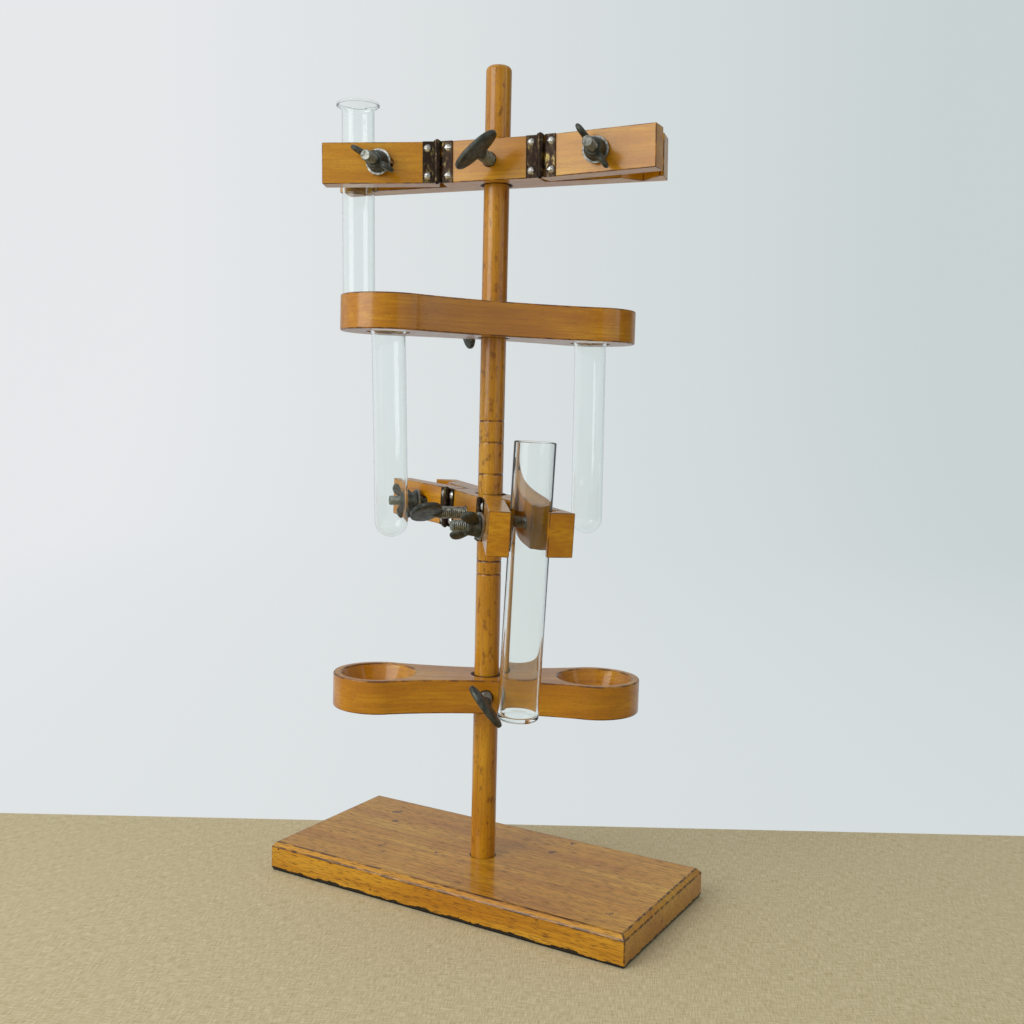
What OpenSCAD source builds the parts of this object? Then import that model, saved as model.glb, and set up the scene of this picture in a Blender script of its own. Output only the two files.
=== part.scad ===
// Wooden burette stand: a round rod on a board carries two hinged double clamps,
// two ring arms and four glass tubes. The origin is on the table, under the rod.
// X runs along the board, the front is -Y and Z is up. Sizes are in millimetres.

/* [Board] */
// Length of the board
board_l = 308; // [240:1:380]
// Width of the board from front to back
board_w = 140.5; // [110:0.5:180]
// Thickness of the wood
board_t = 21.5; // [18:0.5:30]
// Chamfer along the top edges
board_chamfer = 3.4; // [1:0.1:6]
// Thickness of the felt under the board
felt_t = 1.2; // [0.6:0.1:3]
// Distance from the edge of the felt to the edge of the board
felt_inset = 1; // [0:0.5:10]

/* [Rod] */
// Diameter of the rod
rod_d = 19; // [17:0.1:21]
// Length of the rod
rod_l = 611.5; // [600:0.5:700]
// Depth of the socket in the board
socket_depth = 14; // [8:0.5:15]
// Radius of the rounded top edge of the rod
rod_round = 4; // [1:0.1:6]
// Depth of the worn rings round the rod
ring_depth = 0.35; // [0.1:0.05:0.8]
// Length of the screw that holds the rod from below
rod_screw_l = 32; // [24:1:45]

/* [Places on the rod] */
// Drop from the top of the rod to the middle of the upper clamp
upper_clamp_drop = 71.2; // [45:0.1:90]
// Turn of the upper clamp about the rod
upper_clamp_turn = 14; // [0:1:20]
// Sag of the right end of the upper clamp
upper_clamp_sag = -1; // [-2:0.1:2]
// Height of the middle of the upper arm
upper_arm_z = 434.4; // [420:0.5:445]
// Turn of the upper arm about the rod
upper_arm_turn = 235.4; // [228:0.1:255]
// Sag of the thumb screw's right end of the upper arm
upper_arm_sag = -0.3; // [-2:0.1:2]
// Height of the middle of the lower clamp
lower_clamp_z = 289.7; // [250:0.5:340]
// Turn of the lower clamp about the rod
lower_clamp_turn = -38.6; // [-50:0.1:-20]
// Sag of the right end of the lower clamp
lower_clamp_sag = 1.7; // [-2:0.1:2]
// Rise of the front of the lower clamp
lower_clamp_nod = 1.8; // [0:0.1:2]
// Height of the middle of the lower arm
lower_arm_z = 152.9; // [110:0.5:190]
// Turn of the lower arm about the rod
lower_arm_turn = 31; // [10:1:60]
// Sag of the right end of the lower arm
lower_arm_sag = 0.4; // [-2:0.1:2]

/* [Bores and linings] */
// Diameter of the rod hole in every clamp and arm
bore_d = 23.4; // [22.6:0.1:24]
// Radial play of every running fit
play = 0.05; // [0.02:0.01:0.08]
// Air left between surfaces that only rest on each other
rest_gap = 0.3; // [0.2:0.05:0.5]

/* [Clamps] */
// Length of a clamp
clamp_l = 250; // [244:1:280]
// Height of a clamp
clamp_h = 30; // [28:0.5:40]
// Distance from the rod's axis to the front face of the block
block_front = 20; // [19:0.5:24]
// Distance from the rod's axis to the back of the bar
bar_back = 14.1; // [14:0.1:20]
// Thickness of a jaw
jaw_t = 15; // [13:0.5:17]
// Width of the saw cuts between the jaws and the bar
kerf = 0.6; // [0.4:0.1:1.2]
// Slant of the cut between the block and a jaw
cut_slant = 2; // [0:0.5:3]
// Distance from the rod's axis to the middle of a V-notch
notch_x = 108; // [106:0.5:112]
// Depth of a V-notch
notch_depth = 14; // [8:0.5:14]
// Opening of the upper clamp's empty jaw
upper_jaw_open = 9.7; // [4:0.1:14]
// Opening of the lower clamp's empty jaw
lower_jaw_open = 14; // [4:0.1:14]

/* [Hinges] */
// Distance from the rod's axis to a hinge pin
hinge_x = 39; // [37:0.5:42]
// Width of a hinge leaf from the pin's axis
leaf_w = 11; // [10:0.5:13]
// Thickness of a leaf
leaf_t = 1; // [0.6:0.1:1.2]
// Diameter of the knuckles
knuckle_d = 5; // [4.4:0.1:5.4]
// Diameter of a hinge pin
pin_d = 2.4; // [1.8:0.1:2.6]
// Number of knuckles in a hinge
knuckles = 5; // [3:2:7]
// Distance of the leaf screws from the pin's axis
leaf_screw_x = 7.2; // [6.6:0.1:8]
// Height of the leaf screws above and below the middle
leaf_screw_z = 10; // [8:0.5:11]
// Diameter of the round head of a leaf screw
screw_head_d = 5.8; // [4:0.1:6]
// Length of the shank of a leaf screw
screw_l = 11; // [6:0.5:12]

/* [Bolts and wing nuts] */
// Distance from the rod's axis to a bolt
bolt_x = 81; // [76:0.5:85]
// Diameter of a bolt
bolt_d = 7.9; // [6:0.1:9]
// Distance from the rod's axis to the tip of a bolt
bolt_reach = 57.5; // [52:0.5:64]
// Pitch of the bolt's thread
bolt_pitch = 1.41; // [1:0.01:2]
// Diameter of a washer
washer_d = 19; // [16:0.5:22]
// Thickness of a washer
washer_t = 1.5; // [1:0.1:2.5]
// Height of the hub of a wing nut
hub_h = 10; // [8:0.5:12]
// Diameter of the foot of the hub
hub_d = 16; // [13:0.5:18]
// Reach of a wing from the bolt's axis to the middle of its round end
wing_reach = 16.5; // [14:0.5:19]
// Radius of the round end of a wing
wing_r = 5.5; // [4:0.5:7]

/* [Thumb screws] */
// Diameter of a thumb screw's thread
thumb_d = 9.5; // [8:0.1:10.5]
// Pitch of a thumb screw's thread
thumb_pitch = 1.59; // [1:0.01:2.2]
// Length of the thread from its tip to the flat head
thumb_l = 28; // [24:0.5:34]
// Width of the flat head
spade_w = 37; // [28:0.5:40]
// Length of the flat head along the screw
spade_l = 22; // [18:0.5:26]
// Thickness of the flat head
spade_t = 5.6; // [4:0.1:7]
// Diameter of the nut that is sunk into the wood
insert_d = 13; // [12:0.5:15]
// Length of the sunk nut
insert_l = 5; // [3:0.5:5.5]

/* [Ring arms] */
// Distance from the rod's axis to the middle of a ring
ring_x = 83; // [76:0.5:88]
// Outer diameter of the round ends
arm_end_d = 69; // [66:0.5:74]
// Width of an arm at the rod
arm_waist = 47; // [42:0.5:52]
// Height of an arm
arm_h = 25.5; // [20:0.5:28]
// Diameter of a ring at the top
ring_top_d = 57.5; // [50:0.5:60]
// Diameter of a ring at the bottom
ring_bottom_d = 30.5; // [28:0.1:31.5]

/* [Glass] */
// Outer diameter of a round-bottomed tube
tube_d = 24.4; // [20:0.1:26]
// Length of a round-bottomed tube
tube_l = 153; // [120:1:160]
// Wall of the round-bottomed tubes
tube_wall = 1.2; // [0.8:0.1:2]
// Outer diameter of the flared rim
rim_d = 32.4; // [32:0.1:34]
// Height of the rim of the clamped tube above the middle of its clamp
tube_rise = 50; // [40:1:60]
// Lean of the tube in the left ring, as the rim lies askew in the cone
left_tube_lean = 1.9; // [0:0.1:3]
// Lean of the tube in the right ring
right_tube_lean = 0.6; // [0:0.1:3]
// Compass direction in which the feet of the leaning tubes point
tube_lean_turn = 37; // [0:1:180]
// Outer diameter of the flat-bottomed tube
jar_d = 28.4; // [20:0.1:30]
// Length of the flat-bottomed tube
jar_l = 189.5; // [150:0.5:200]
// Wall of the flat-bottomed tube
jar_wall = 1.6; // [1:0.1:2.5]
// Height of the top of the flat-bottomed tube above the middle of its clamp
jar_rise = 60.5; // [40:0.5:70]

/* [Hidden] */
$fn = 64;
eps = 0.01;

// Heights of the board and the rod
board_top = felt_t + board_t;
rod_r = rod_d / 2;
rod_foot = board_top - socket_depth;
rod_top = rod_foot + rod_l;
upper_clamp_z = rod_top - upper_clamp_drop;
worn_rings = [
    upper_clamp_z + clamp_h / 2 + 3,
    upper_arm_z - arm_h / 2 - 62,
    lower_clamp_z + clamp_h / 2 + 39,
    lower_clamp_z + clamp_h / 2 + 15,
    lower_clamp_z - clamp_h / 2 - 21,
    lower_clamp_z - clamp_h / 2 - 31
];
ring_h = 1.2;

// The two clamps, the upper one first
CLAMPS = ["upper_clamp", "lower_clamp"];
clamp_z = [upper_clamp_z, lower_clamp_z];
clamp_turn = [upper_clamp_turn, lower_clamp_turn];
clamp_sag = [upper_clamp_sag, lower_clamp_sag];
clamp_nod = [0, lower_clamp_nod];
clamp_spade = [40, 25];

// The two ring arms, the upper one first
ARMS = ["upper_arm", "lower_arm"];
arm_z = [upper_arm_z, lower_arm_z];
arm_turn = [upper_arm_turn, lower_arm_turn];
arm_sag = [upper_arm_sag, lower_arm_sag];
arm_spade = [80, -52];

// Left is -1 and right is 1, as seen from a clamp's front
SIDES = ["left", "right"];
side_sign = [-1, 1];
wing_turn = [[31, 126], [40, 35]];

// Outlines of a clamp
bar_front = block_front - jaw_t - kerf;
block_x = hinge_x - 2.7;
bore_r = bore_d / 2;
lining_r = bore_r - play;
notch_apex = notch_depth - bar_front;

// The hinge stands proud of the wood by the knuckle's radius
knuckle_r = knuckle_d / 2;
hinge_lift = 0.2;
hinge_y = block_front + knuckle_r + hinge_lift;
knuckle_gap = 0.15;
pin_head_h = 1.2;
leaf_edge = knuckle_r + 0.3;

// A tube rests in the V-notch, and the jaw that grips it stands open by this angle
function notch_seat(r) = (r + rest_gap) * sqrt(2) - notch_apex;
function grip_angle(r) =
    let (
        run = notch_x - hinge_x,
        lift = hinge_y - notch_seat(r),
        need = jaw_t + hinge_y - block_front + r + rest_gap
    )
    asin(need / norm([run, lift])) - atan(lift / run);
jaw_open = [
    [grip_angle(tube_d / 2), upper_jaw_open],
    [lower_jaw_open, grip_angle(jar_d / 2)]
];
jaw_empty = [[0, 1], [1, 0]];

// A washer stands on the highest edge of the open jaw's front face
empty_gap = 0.8;
function washer_seat(k, s) =
    let (open = jaw_open[k][s])
    hinge_y - (hinge_y - block_front) / cos(open)
    + (bolt_x + washer_d / 2 - hinge_x) * tan(open)
    + (jaw_empty[k][s] == 1 ? empty_gap : rest_gap);
slot_half = 4.7;
slot_start = bolt_x - hinge_x - slot_half;
slot_end = bolt_x - hinge_x + slot_half;
bolt_r = bolt_d / 2;
bolt_clear = 0.35;
head_r = 9;
head_h = 3.6;

// A wing nut's wings: their thickness at the hub and at the end, and their start
wing_foot_t = 5;
wing_end_t = 4;
wing_start = 0.6;

// The thumb screw's tip stands just off the lining
thumb_tip = bore_r + rest_gap;
thumb_r = thumb_d / 2;
thread_depth = 0.55;
neck_l = 7;

// A ring arm's waist is cut by two large circles that just cross the round ends
waist_bite = 0.25;
arm_r = arm_end_d / 2;
waist_r = (pow(ring_x, 2) + pow(arm_waist / 2, 2) - pow(arm_r, 2)) / (2 * arm_r - arm_waist);
waist_y = arm_waist / 2 + waist_r;
waist_x = ring_x - arm_r * ring_x / (waist_r + arm_r);
waist_half = arm_r * waist_y / (waist_r + arm_r);

// Glass: the flare of the rim, and the height at which it rests in a ring
tube_r = tube_d / 2;
rim_r = rim_d / 2;
rim_h = 6;
lip_r = 1;
ring_slope = (ring_top_d - ring_bottom_d) / 2 / arm_h;
rim_seat = (rim_r - ring_bottom_d / 2 + rest_gap) / ring_slope + lip_r;

// Puts a carrier at its height, turned about the rod, sagging to its right and with
// its front raised by the angle nod
module on_rod(z, turn, sag, nod) {
    translate([0, 0, z]) rotate([0, 0, turn]) rotate([-nod, sag, 0]) children();
}

// A clamp's frame, and its right or left side drawn as the right one
module in_clamp(k) on_rod(clamp_z[k], clamp_turn[k], clamp_sag[k], clamp_nod[k]) children();
module in_side(k, s) in_clamp(k) mirror([side_sign[s] < 0 ? 1 : 0, 0, 0]) children();
module in_jaw(k, s) {
    in_side(k, s)
        translate([hinge_x, -hinge_y, 0]) rotate([0, 0, -jaw_open[k][s]])
            translate([-hinge_x, hinge_y, 0]) children();
}
module in_arm(k) on_rod(arm_z[k], arm_turn[k], arm_sag[k], 0) children();

// Draws its children with their Z axis along the front direction
module facing_front(x, y) translate([x, -y, 0]) rotate([90, 0, 0]) children();

// A straight hole for the rod, true to the rod and not to the sagging wood
module rod_hole(z, h) translate([0, 0, z]) cylinder(r = bore_r, h = h * 1.5, center = true);

// A thread drawn as closed rings: crests at the full radius and roots between
module thread(r, pitch, length) {
    turns = floor(length / pitch);
    root = r - thread_depth;
    rotate_extrude()
        polygon(concat(
            [[0, 0]],
            [for (i = [0 : turns - 1]) for (p = [[root, 0], [r, 0.35], [r, 0.65]])
                [p[0], (i + p[1]) * pitch]],
            [[root, turns * pitch], [root, length], [0, length]]
        ));
}

// A domed head on the plane z = 0, with the radius r and the height h
module dome(r, h) {
    ball = (r * r + h * h) / (2 * h);
    intersection() {
        translate([0, 0, h - ball]) sphere(r = ball);
        cylinder(r = r + 1, h = h + 1);
    }
}

module board() {
    color("darkgoldenrod") difference() {
        intersection() {
            translate([-board_l / 2, -board_w / 2, felt_t]) cube([board_l, board_w, board_t]);
            board_bevel(board_l, board_w);
            rotate([0, 0, 90]) board_bevel(board_w, board_l);
        }
        translate([0, 0, rod_foot]) cylinder(r = rod_r + play, h = socket_depth + 1);
        screw_hole();
    }
}

// The board's section across its width, with both top edges chamfered
module board_bevel(l, w) {
    c = board_chamfer;
    rotate([90, 0, 90]) translate([0, 0, -l / 2]) linear_extrude(l)
        polygon([
            [-w / 2, felt_t], [w / 2, felt_t], [w / 2, board_top - c],
            [w / 2 - c, board_top], [-w / 2 + c, board_top], [-w / 2, board_top - c]
        ]);
}

module felt() {
    color("black")
        translate([-board_l / 2 + felt_inset, -board_w / 2 + felt_inset, 0])
            cube([board_l - 2 * felt_inset, board_w - 2 * felt_inset, felt_t]);
}

module rod() {
    color("goldenrod") difference() {
        rotate_extrude() {
            translate([0, rod_foot]) square([rod_r, rod_l - rod_round]);
            translate([0, rod_foot]) square([rod_r - rod_round, rod_l]);
            translate([rod_r - rod_round, rod_top - rod_round]) intersection() {
                circle(r = rod_round);
                square(rod_round);
            }
        }
        for (z = worn_rings) translate([0, 0, z]) difference() {
            cylinder(r = rod_r + 1, h = ring_h, center = true);
            cylinder(r = rod_r - ring_depth, h = ring_h + 1, center = true);
        }
        screw_hole();
    }
}

// The screw from below: its shank's radius and its countersunk head
rod_screw_r = 2.3;
rod_screw_head_r = 4.6;
rod_screw_head_h = 3;
module screw_body(extra) {
    translate([0, 0, felt_t]) {
        cylinder(r1 = rod_screw_head_r + extra, r2 = rod_screw_r + extra, h = rod_screw_head_h);
        cylinder(r = rod_screw_r + extra, h = rod_screw_l + extra);
    }
}
module screw_hole() {
    screw_body(play);
    cylinder(r = rod_screw_head_r + play, h = felt_t + eps);
}
module rod_screw() color("gray") screw_body(0);

// A clamp's bar: the block that holds the rod, and the back bar with two V-notches
module clamp_bar(k) {
    color("peru") difference() {
        in_clamp(k) difference() {
            translate([0, 0, -clamp_h / 2]) linear_extrude(clamp_h)
                polygon([
                    [-clamp_l / 2, bar_back], [-clamp_l / 2, -bar_front],
                    [-block_x - cut_slant, -bar_front], [-block_x, -block_front],
                    [block_x, -block_front], [block_x + cut_slant, -bar_front],
                    [clamp_l / 2, -bar_front], [clamp_l / 2, bar_back]
                ]);
            for (m = [0, 1]) mirror([m, 0, 0]) {
                translate([notch_x, -bar_front, -clamp_h]) linear_extrude(clamp_h * 2)
                    polygon([
                        [-notch_depth - 1, -1], [-notch_depth, 0], [0, notch_depth],
                        [notch_depth, 0], [notch_depth + 1, -1]
                    ]);
                facing_front(bolt_x, -bar_back - 1)
                    cylinder(r = bolt_r + bolt_clear, h = clamp_l);
                for (z = [-leaf_screw_z, leaf_screw_z])
                    translate([0, 0, z]) facing_front(hinge_x - leaf_screw_x, block_front - screw_l - 0.5)
                        cylinder(r = screw_r + play, h = screw_l + 1, $fn = 24);
            }
            thumb_hole(block_front);
        }
        rod_hole(clamp_z[k], clamp_h);
    }
}

// The hole for a thumb screw, with the pocket for its nut on the side of the rod
module thumb_hole(front) {
    facing_front(0, 0) {
        cylinder(r = thumb_r + 0.2, h = front + 1);
        cylinder(r = insert_d / 2 + play, h = bore_r + insert_l);
    }
}

// A dark sleeve between the rod and the wood, on which a clamp or an arm turns
module lining(z, h) {
    color("saddlebrown") translate([0, 0, z - h / 2]) difference() {
        cylinder(r = lining_r, h = h);
        translate([0, 0, -1]) cylinder(r = rod_r + play, h = h + 2);
    }
}

module insert() {
    color("darkkhaki") facing_front(0, bore_r + rest_gap) difference() {
        cylinder(r = insert_d / 2, h = insert_l - rest_gap);
        translate([0, 0, -1]) cylinder(r = thumb_r + play, h = insert_l + 2);
    }
}

// Thumb screw: a ringed shank, a neck and a flat oval head turned by an angle
module thumb_screw(spade_turn) {
    end_r = spade_l / 2;
    end_x = spade_w / 2 - end_r;
    mid_r = end_r - 0.12;
    color("darkslategray") facing_front(0, thumb_tip) {
        thread(thumb_r, thumb_pitch, thumb_l);
        translate([0, 0, thumb_l]) cylinder(r1 = thumb_r, r2 = spade_t / 2, h = neck_l);
        translate([0, 0, thumb_l + end_r]) rotate([0, 0, spade_turn]) rotate([90, 0, 0])
            for (m = [0, 1]) mirror([0, 0, m]) {
                for (x = [-end_x, end_x]) translate([x, 0, -eps]) {
                    cylinder(r = end_r, h = spade_t / 4 + eps);
                    translate([0, 0, spade_t / 4])
                        cylinder(r1 = end_r, r2 = end_r - 1.5, h = spade_t / 4 + eps);
                }
                rotate([90, 0, 90]) translate([0, 0, -end_x]) linear_extrude(2 * end_x)
                    polygon([
                        [-mid_r, -eps], [mid_r, -eps], [mid_r, spade_t / 4],
                        [mid_r - 1.5, spade_t / 2], [-mid_r + 1.5, spade_t / 2], [-mid_r, spade_t / 4]
                    ]);
            }
    }
}

// A jaw lies in front of the bar and turns about the hinge at its inner end
module clamp_jaw(k, s) {
    inner = block_x + kerf;
    color("peru") in_jaw(k, s) difference() {
        translate([0, 0, -clamp_h / 2]) linear_extrude(clamp_h)
            polygon([
                [inner, -block_front], [clamp_l / 2, -block_front],
                [clamp_l / 2, -block_front + jaw_t], [inner + cut_slant, -block_front + jaw_t]
            ]);
        for (x = [slot_start, slot_end])
            facing_front(hinge_x + x, 0) cylinder(r = bolt_r + bolt_clear, h = clamp_l);
        translate([hinge_x + slot_start, -clamp_l, -bolt_r - bolt_clear])
            cube([slot_end - slot_start, clamp_l, bolt_d + 2 * bolt_clear]);
        for (z = [-leaf_screw_z, leaf_screw_z])
            translate([0, 0, z]) facing_front(hinge_x + leaf_screw_x, block_front - screw_l - 0.5)
                cylinder(r = screw_r + play, h = screw_l + 1, $fn = 24);
    }
}

// A hinge leaf on the right of its pin, drawn in the jaw's or the block's frame
screw_r = 1.3;
knuckle_h = clamp_h / knuckles;
module leaf(first) {
    difference() {
        union() {
            translate([leaf_edge, knuckle_r + hinge_lift - leaf_t, -clamp_h / 2])
                cube([leaf_w - leaf_edge, leaf_t, clamp_h]);
            for (i = [first : 2 : knuckles - 1])
                translate([0, 0, -clamp_h / 2 + i * knuckle_h + knuckle_gap / 2]) {
                    cylinder(r = knuckle_r, h = knuckle_h - knuckle_gap);
                    translate([0, knuckle_r - leaf_t, 0])
                        cube([leaf_edge + eps, leaf_t, knuckle_h - knuckle_gap]);
                }
        }
        cylinder(r = pin_d / 2 + play, h = clamp_h + 2, center = true, $fn = 32);
        for (z = [-leaf_screw_z, leaf_screw_z])
            translate([leaf_screw_x, 0, z]) rotate([-90, 0, 0])
                cylinder(r = screw_r + play, h = knuckle_r + 2, $fn = 24);
    }
}
module fixed_leaf(k, s) {
    color("dimgray") in_side(k, s) translate([hinge_x, -hinge_y, 0]) mirror([1, 0, 0]) leaf(0);
}
module moving_leaf(k, s) {
    color("dimgray") in_jaw(k, s) translate([hinge_x, -hinge_y, 0]) leaf(1);
}
module hinge_pin(k, s) {
    color("gray") in_side(k, s) translate([hinge_x, -hinge_y, 0]) {
        cylinder(r = pin_d / 2, h = clamp_h + 2 * eps, center = true, $fn = 32);
        for (m = [0, 1]) mirror([0, 0, m]) translate([0, 0, clamp_h / 2])
            dome(pin_d / 2 + 0.7, pin_head_h);
    }
}

// A round-headed screw through a leaf, at the distance x from the rod's axis
module leaf_screw_pair(x) {
    for (z = [-leaf_screw_z, leaf_screw_z]) translate([0, 0, z]) {
        facing_front(x, block_front + leaf_t) difference() {
            dome(screw_head_d / 2, 1.5);
            translate([-screw_head_d, -0.3, 0.9]) cube([screw_head_d * 2, 0.6, 2]);
        }
        facing_front(x, block_front - screw_l)
            cylinder(r = screw_r, h = screw_l + leaf_t + eps, $fn = 24);
    }
}
module fixed_leaf_screws(k) {
    color("silver") for (s = [0, 1]) in_side(k, s) leaf_screw_pair(hinge_x - leaf_screw_x);
}
module jaw_leaf_screws(k, s) {
    color("silver") in_jaw(k, s) leaf_screw_pair(hinge_x + leaf_screw_x);
}

// Carriage bolt: a domed head on the back of the bar, and a thread towards the front
module bolt(k, s) {
    plain = bar_back + bar_front;
    color("gray") in_side(k, s) facing_front(bolt_x, -bar_back) {
        cylinder(r = bolt_r, h = plain);
        translate([0, 0, plain - eps]) thread(bolt_r, bolt_pitch, bolt_reach - bar_front + eps);
        mirror([0, 0, 1]) dome(head_r, head_h);
    }
}
module washer(k, s) {
    color("silver") in_side(k, s) facing_front(bolt_x, washer_seat(k, s)) difference() {
        cylinder(r = washer_d / 2, h = washer_t);
        translate([0, 0, -1]) cylinder(r = bolt_r + 0.3, h = washer_t + 2);
    }
}
module wing_nut(k, s) {
    color("darkslategray")
        in_side(k, s) facing_front(bolt_x, washer_seat(k, s) + washer_t + eps)
            rotate([0, 0, wing_turn[k][s]]) difference() {
                union() {
                    cylinder(r1 = hub_d / 2, r2 = hub_d / 2 - 2, h = hub_h);
                    for (m = [0, 1]) mirror([m, 0, 0]) hull() {
                        translate([hub_d / 4 + wing_start, 0, hub_h / 2]) rotate([90, 0, 0])
                            cylinder(r = hub_h / 2 - wing_start, h = wing_foot_t, center = true, $fn = 32);
                        translate([wing_reach, 0, hub_h + 4]) rotate([90, 0, 0])
                            cylinder(r = wing_r, h = wing_end_t, center = true, $fn = 32);
                    }
                }
                translate([0, 0, -1]) cylinder(r = bolt_r + play, h = hub_h * 4);
            }
}

// A ring arm: two round ends, a waist and two conical rings, wide side up
module arm_body(k) {
    color("goldenrod") difference() {
        in_arm(k) difference() {
            translate([0, 0, -arm_h / 2]) union() {
                for (x = [-ring_x, ring_x]) translate([x, 0, 0]) cylinder(r = arm_r, h = arm_h, $fn = 96);
                difference() {
                    translate([-waist_x, -waist_half, 0]) cube([2 * waist_x, 2 * waist_half, arm_h]);
                    for (m = [-1, 1])
                        translate([0, m * (waist_y - waist_bite), -1]) cylinder(r = waist_r, h = arm_h + 2, $fn = 180);
                }
            }
            for (x = [-ring_x, ring_x]) translate([x, 0, -arm_h / 2 - eps])
                cylinder(r1 = ring_bottom_d / 2, r2 = ring_top_d / 2, h = arm_h + 2 * eps, $fn = 96);
            thumb_hole(arm_waist / 2);
        }
        rod_hole(arm_z[k], arm_h);
    }
}

// A round-bottomed tube with a flared rim, its bottom at the origin
module round_tube() {
    color("lightcyan", 0.4) difference() {
        tube_outside(tube_r, tube_r);
        translate([0, 0, tube_wall]) tube_outside(tube_r - tube_wall, tube_r);
    }
}
module tube_outside(r, bend) {
    steps = 8;
    translate([0, 0, r]) sphere(r = r);
    translate([0, 0, r]) cylinder(r = r, h = tube_l - rim_h - r + eps);
    inner = r < bend;
    flare = inner ? rim_r - tube_wall - r : rim_r - r;
    top = inner ? tube_l - tube_wall : tube_l;
    low = tube_l - rim_h;
    rotate_extrude()
        polygon(concat(
            [[0, low]],
            [for (i = [0 : steps]) let (t = i / steps)
                [r + flare * t * t, low + (rim_h - 2 * lip_r) * t]],
            [[r + flare, top], [0, top]]
        ));
}

// A plain tube with a thick flat bottom, its bottom at the origin
module flat_tube() {
    base = 3;
    edge = 2.5;
    r = jar_d / 2;
    color("lightcyan", 0.4) difference() {
        rotate_extrude() {
            square([r - edge, jar_l]);
            translate([0, edge]) square([r, jar_l - edge]);
            translate([r - edge, edge]) circle(r = edge);
        }
        translate([0, 0, base]) cylinder(r = r - jar_wall, h = jar_l);
    }
}

module clamped_tube() {
    in_side(0, 0) translate([notch_x, -notch_seat(tube_r), tube_rise - tube_l]) round_tube();
}
module flat_bottomed_tube() {
    in_side(1, 1) translate([notch_x, -notch_seat(jar_d / 2), jar_rise - jar_l]) flat_tube();
}
module ring_tube(x, lean) {
    lift = rim_seat + lip_r + rim_r * sin(lean);
    in_arm(0) translate([x, 0, -arm_h / 2 + lift])
        rotate([0, 0, tube_lean_turn - upper_arm_turn]) rotate([0, -lean, 0])
            translate([0, 0, -tube_l]) round_tube();
}

board();
felt();
rod();
rod_screw();
for (k = [0, 1]) {
    name = CLAMPS[k];
    clamp_bar(k);
    lining(clamp_z[k], clamp_h);
    in_clamp(k) insert();
    in_clamp(k) thumb_screw(clamp_spade[k]);
    fixed_leaf_screws(k);
    for (s = [0, 1]) {
        half = str(name, "_", SIDES[s]);
        clamp_jaw(k, s);
        fixed_leaf(k, s);
        moving_leaf(k, s);
        hinge_pin(k, s);
        jaw_leaf_screws(k, s);
        bolt(k, s);
        washer(k, s);
        wing_nut(k, s);
    }
}
for (k = [0, 1]) {
    name = ARMS[k];
    arm_body(k);
    lining(arm_z[k], arm_h);
    in_arm(k) insert();
    in_arm(k) thumb_screw(arm_spade[k]);
}
clamped_tube();
ring_tube(ring_x, left_tube_lean);  // left_ring_tube
ring_tube(-ring_x, right_tube_lean);  // right_ring_tube
flat_bottomed_tube();
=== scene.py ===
# %% [markdown]
# # A wooden burette stand with four glass tubes
# A laboratory stand of this kind is turned and sawn from beech and oak, varnished, and
# fitted with brass hinges, steel bolts and cast thumb screws. The CAD model already has
# every piece in its place. This lesson gives each piece its finish, and rebuilds the ones
# whose real surface is rounder or finer than the CAD solid: threads, cast heads and glass.

# %% Load the CAD frame
import math

import bmesh
import bpy
import numpy as np
from mathutils import Matrix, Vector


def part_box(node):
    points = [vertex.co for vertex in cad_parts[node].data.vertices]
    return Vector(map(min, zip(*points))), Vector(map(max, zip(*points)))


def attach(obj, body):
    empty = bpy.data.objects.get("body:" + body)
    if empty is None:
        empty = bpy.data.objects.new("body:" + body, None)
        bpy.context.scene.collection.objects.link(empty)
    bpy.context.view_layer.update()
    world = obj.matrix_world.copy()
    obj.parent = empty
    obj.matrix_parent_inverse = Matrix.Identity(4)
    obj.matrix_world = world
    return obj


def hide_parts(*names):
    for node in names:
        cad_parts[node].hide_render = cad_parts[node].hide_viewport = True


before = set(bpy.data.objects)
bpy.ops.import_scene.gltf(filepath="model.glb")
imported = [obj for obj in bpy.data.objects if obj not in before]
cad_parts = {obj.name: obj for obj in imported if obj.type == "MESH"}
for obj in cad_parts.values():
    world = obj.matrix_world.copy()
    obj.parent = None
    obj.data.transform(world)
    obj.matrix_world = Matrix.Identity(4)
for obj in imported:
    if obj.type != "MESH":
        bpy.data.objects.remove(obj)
scene = bpy.context.scene
MM = 0.001
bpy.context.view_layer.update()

# %% [markdown]
# ## Where the clamps and arms sit
# Four carriers hang on the rod. Each has a height, a turn about the rod, a slight sag to its
# right and a slight rise of its front, because the bores are wider than the rod. A sag with
# a minus sign is to its left.
# Every new piece is worked out upright in its own carrier's coordinates, in millimetres,
# and then turned and lifted into place, so one recipe serves both clamps or both arms.

# %% The carriers
CARRIERS = {
    "upper_clamp": (549.0, 14.0, -1.0, 0.0),
    "upper_arm": (434.4, 235.4, -0.3, 0.0),
    "lower_clamp": (289.7, -38.6, 1.7, 1.8),
    "lower_arm": (152.9, 31.0, 0.4, 0.0),
}


def turn_matrix(axis, degrees):
    """The 3 by 3 matrix of a right-handed turn about one axis."""
    return np.array(Matrix.Rotation(math.radians(degrees), 3, axis))


def put_on_rod(points, carrier):
    """Raise the front about X, sag about Y, turn about Z, then lift to the carrier's height."""
    height, turn, sag, nod = CARRIERS[carrier]
    place = turn_matrix("Z", turn) @ turn_matrix("Y", sag) @ turn_matrix("X", -nod)
    return points @ place.T + np.array([0.0, 0.0, height])


def face_front(points, x, front):
    """Upright points laid so that their Z axis points to the front, from the plane y = -front."""
    return np.stack([points[..., 0] + x, -points[..., 2] - front, points[..., 1]], axis=-1)


print("carriers:", ", ".join(CARRIERS))

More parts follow.
